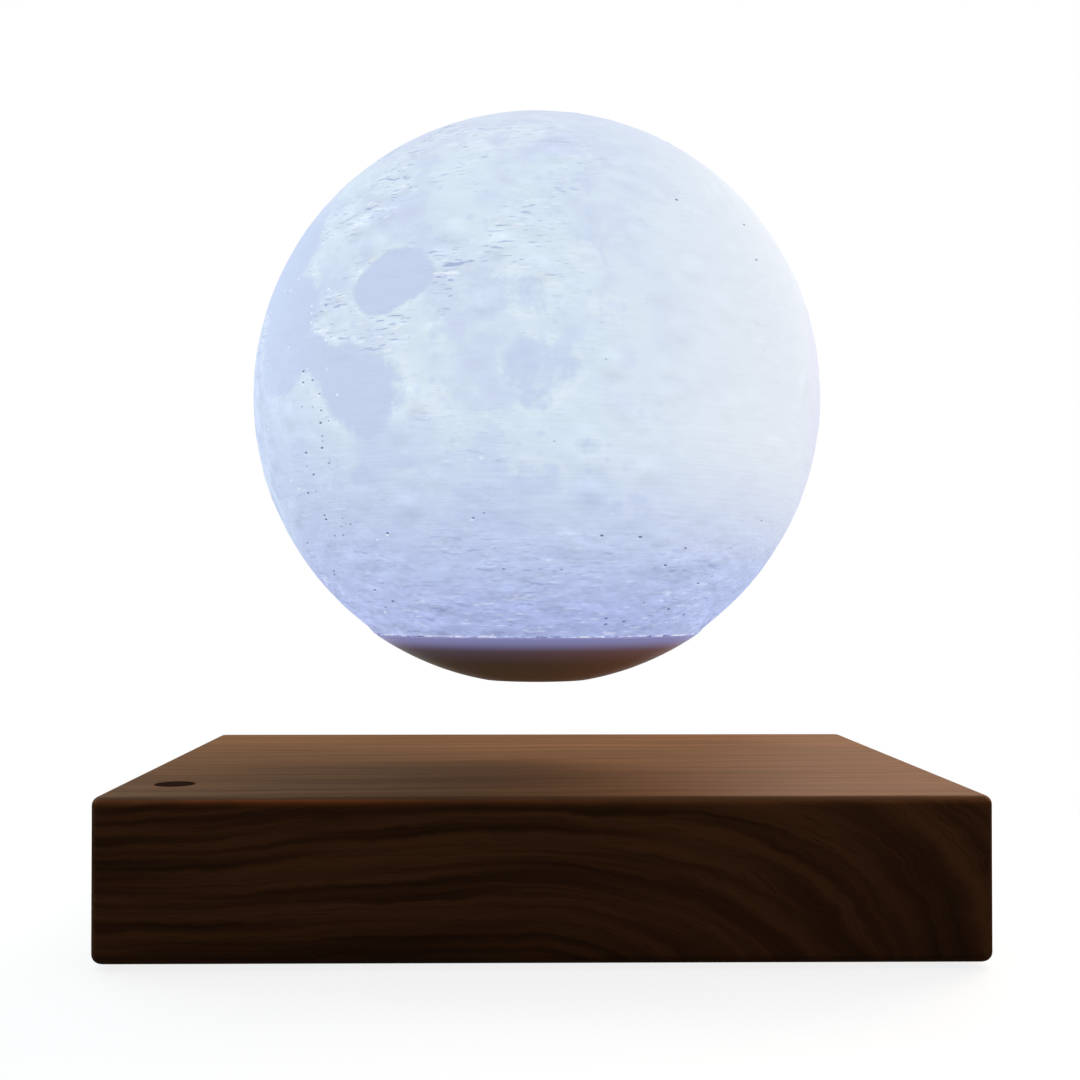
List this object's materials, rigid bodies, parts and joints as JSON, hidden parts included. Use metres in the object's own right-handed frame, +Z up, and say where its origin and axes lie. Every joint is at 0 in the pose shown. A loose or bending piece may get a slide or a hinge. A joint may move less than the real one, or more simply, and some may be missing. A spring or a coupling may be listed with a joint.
{
  "type": "levitating globe lamp",
  "caption": "Lit, moon-like hollow globe with a smooth brown cap, floating and turning over a hollowed walnut block that holds a magnetic levitation module.",
  "frame": {"origin": "on the table, under the middle of the base", "axes": "+Z up; -Y is the front; +X to the right seen from the front"},
  "size_m": [0.18, 0.1368, 0.1898],
  "materials": {
    "walnut": "satin",
    "cover_plastic": "matte",
    "rubber": "matte",
    "screw_steel": "satin",
    "yoke_steel": "satin",
    "magnet_nickel": "satin",
    "copper_wire": "satin",
    "bobbin_plastic": "satin",
    "green_board": "satin",
    "white_board": "satin",
    "jack_plastic": "satin",
    "contact_brass": "satin",
    "sensor_resin": "matte",
    "capacitor_sleeve": "satin",
    "lead_sheath": "satin",
    "ferrite": "matte",
    "globe_plastic": "matte",
    "cap_plastic": "satin",
    "light_phosphor": "gloss"
  },
  "bodies": {
    "base": {"wood_base": "walnut", "bottom_cover": "cover_plastic", "cover_screw_1": "screw_steel", "cover_screw_2": "screw_steel", "cover_screw_3": "screw_steel", "cover_screw_4": "screw_steel", "foot_1": "rubber", "foot_2": "rubber", "foot_3": "rubber", "foot_4": "rubber", "control_board": "green_board", "capacitor_1": "capacitor_sleeve", "capacitor_2": "capacitor_sleeve", "dc_jack": "jack_plastic", "dc_jack_pin": "contact_brass", "touch_electrode": "copper_wire", "touch_lead": "lead_sheath", "magnet_carrier": "bobbin_plastic", "ring_magnet_1": "magnet_nickel", "ring_magnet_2": "magnet_nickel", "ring_magnet_3": "magnet_nickel", "ring_magnet_4": "magnet_nickel", "ring_magnet_5": "magnet_nickel", "ring_magnet_6": "magnet_nickel", "ring_magnet_7": "magnet_nickel", "ring_magnet_8": "magnet_nickel", "yoke_ring": "yoke_steel", "coil_bobbin_1": "bobbin_plastic", "coil_bobbin_2": "bobbin_plastic", "coil_bobbin_3": "bobbin_plastic", "coil_bobbin_4": "bobbin_plastic", "coil_winding_1": "copper_wire", "coil_winding_2": "copper_wire", "coil_winding_3": "copper_wire", "coil_winding_4": "copper_wire", "coil_core_1": "yoke_steel", "coil_core_2": "yoke_steel", "coil_core_3": "yoke_steel", "coil_core_4": "yoke_steel", "sensor_tower": "bobbin_plastic", "hall_sensor_1": "sensor_resin", "hall_sensor_2": "sensor_resin", "hall_sensor_3": "sensor_resin", "transmitter_coil": "copper_wire"},
    "lift": {"float_magnet": "magnet_nickel"},
    "moon": {"moon_globe": "globe_plastic", "bottom_cap": "cap_plastic", "receiver_coil": "copper_wire", "ferrite_disc": "ferrite", "lamp_board": "white_board", "light_1": "light_phosphor", "light_2": "light_phosphor", "light_3": "light_phosphor", "light_4": "light_phosphor", "light_5": "light_phosphor", "light_6": "light_phosphor", "lamp_screw_1": "screw_steel", "lamp_screw_2": "screw_steel", "lamp_screw_3": "screw_steel"}
  },
  "joints": [
    {"name": "moon_float", "type": "slide", "parent": "base", "child": "lift", "axis": [0, 0, 1], "range_m": [-0.0193, 0.08], "stiffness_N_per_m": 150, "springref_m": 0.01826},
    {"name": "moon_spin", "type": "hinge", "parent": "lift", "child": "moon", "pos_m": [0, 0, 0.1213], "axis": [0, 0, 1], "continuous": true}
  ]
}
